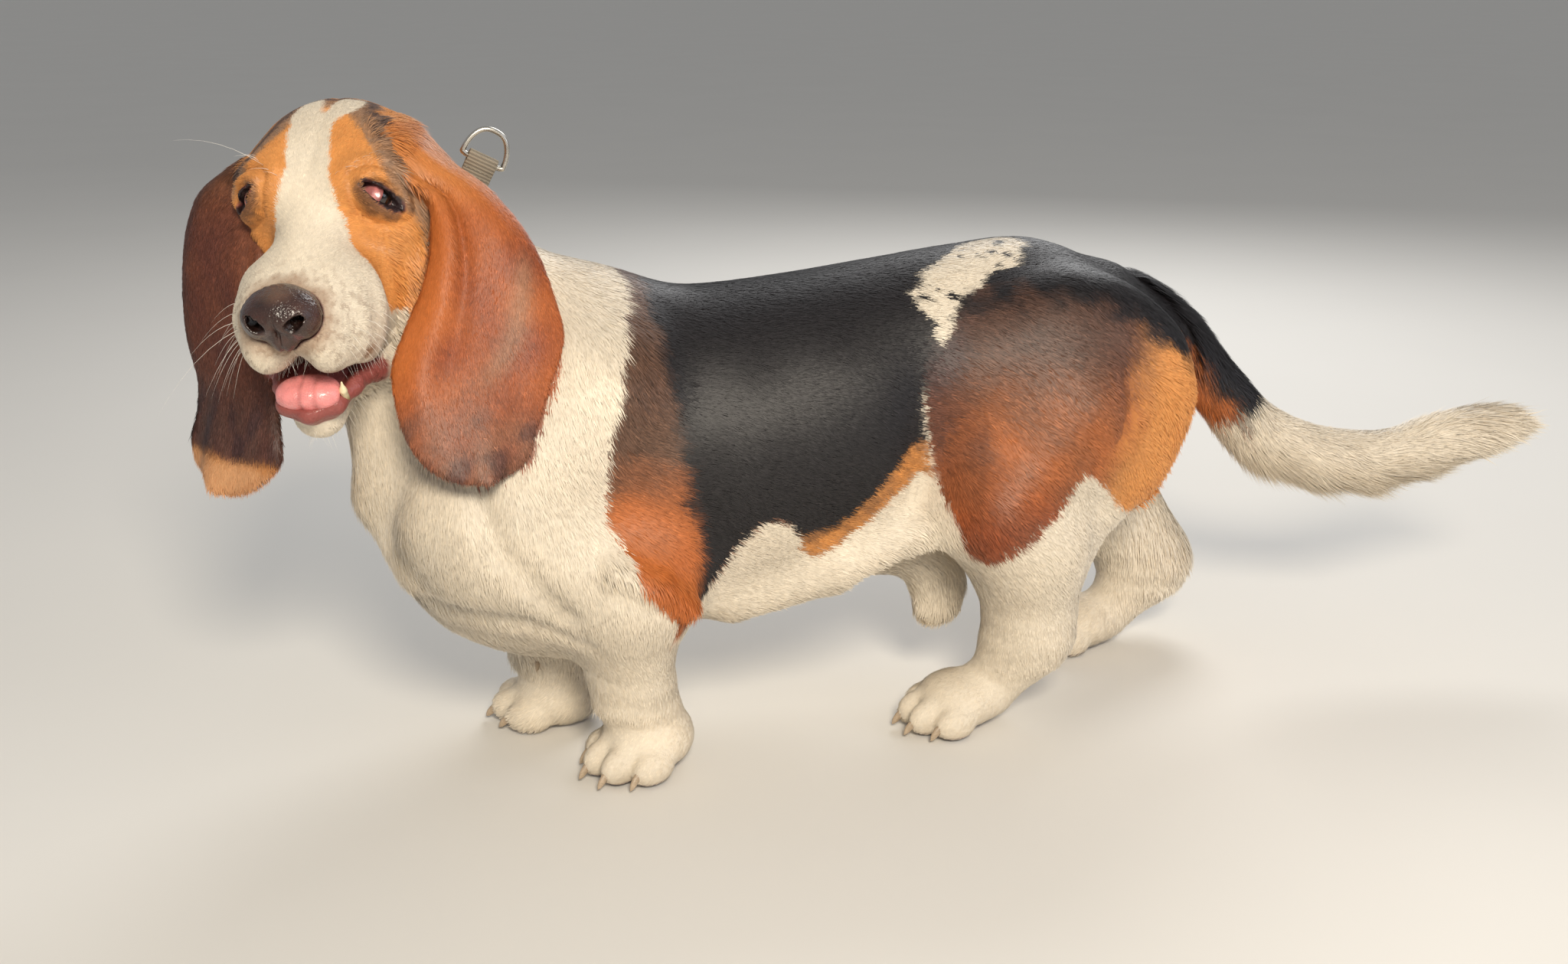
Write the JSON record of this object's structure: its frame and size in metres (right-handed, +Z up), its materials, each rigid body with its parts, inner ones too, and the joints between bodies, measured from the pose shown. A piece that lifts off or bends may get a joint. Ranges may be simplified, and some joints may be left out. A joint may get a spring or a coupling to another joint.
{
  "type": "basset hound",
  "caption": "Life-size standing hound model, head turned and lowered, long hanging ears, short legs, heavy body, trailing tail, with a webbing collar.",
  "frame": {"origin": "middle of the dog's bounding box, on the floor under it", "axes": "+X along the body from the head to the tail, +Y to the dog's right side, +Z up"},
  "size_m": [1.058, 0.2654, 0.4821],
  "materials": {
    "coat_white": "short smooth cream white coat",
    "coat_black": "short smooth black coat",
    "coat_tan": "short smooth tan coat",
    "coat_mahogany": "very short, fine red brown coat",
    "nose_leather": "moist, finely pebbled bare skin",
    "tongue": "wet soft tissue",
    "eye": "wet and glossy, dark brown",
    "claw_horn": "worn horn",
    "webbing": "woven flat webbing, grey beige",
    "ring_steel": "bright plated steel wire"
  },
  "bodies": {
    "root": {"chest": "coat_white", "loin": "coat_black", "sheath": "coat_white", "collar": "webbing", "neck": "coat_white", "foreleg_left": "coat_white", "foreleg_right": "coat_white", "forepaw_left": "coat_white", "forepaw_right": "coat_white", "thigh_left": "coat_black", "thigh_right": "coat_black", "shank_left": "coat_white", "shank_right": "coat_white", "hindpaw_left": "coat_white", "hindpaw_right": "coat_white", "claw_fore_left_1": "claw_horn", "claw_fore_left_2": "claw_horn", "claw_fore_left_3": "claw_horn", "claw_fore_left_4": "claw_horn", "claw_fore_left_dew": "claw_horn", "claw_fore_right_1": "claw_horn", "claw_fore_right_2": "claw_horn", "claw_fore_right_3": "claw_horn", "claw_fore_right_4": "claw_horn", "claw_fore_right_dew": "claw_horn", "claw_hind_left_1": "claw_horn", "claw_hind_left_2": "claw_horn", "claw_hind_left_3": "claw_horn", "claw_hind_left_4": "claw_horn", "claw_hind_right_1": "claw_horn", "claw_hind_right_2": "claw_horn", "claw_hind_right_3": "claw_horn", "claw_hind_right_4": "claw_horn", "tail_base": "coat_black", "tail_middle": "coat_white", "tail_tip": "coat_white", "head": "coat_tan", "nose": "nose_leather", "eye_left": "eye", "eye_right": "eye", "lower_jaw": "coat_white", "tongue": "tongue", "collar_ring": "ring_steel", "collar_tab": "webbing", "ear_left": "coat_mahogany", "ear_right": "coat_mahogany"}
  },
  "joints": []
}
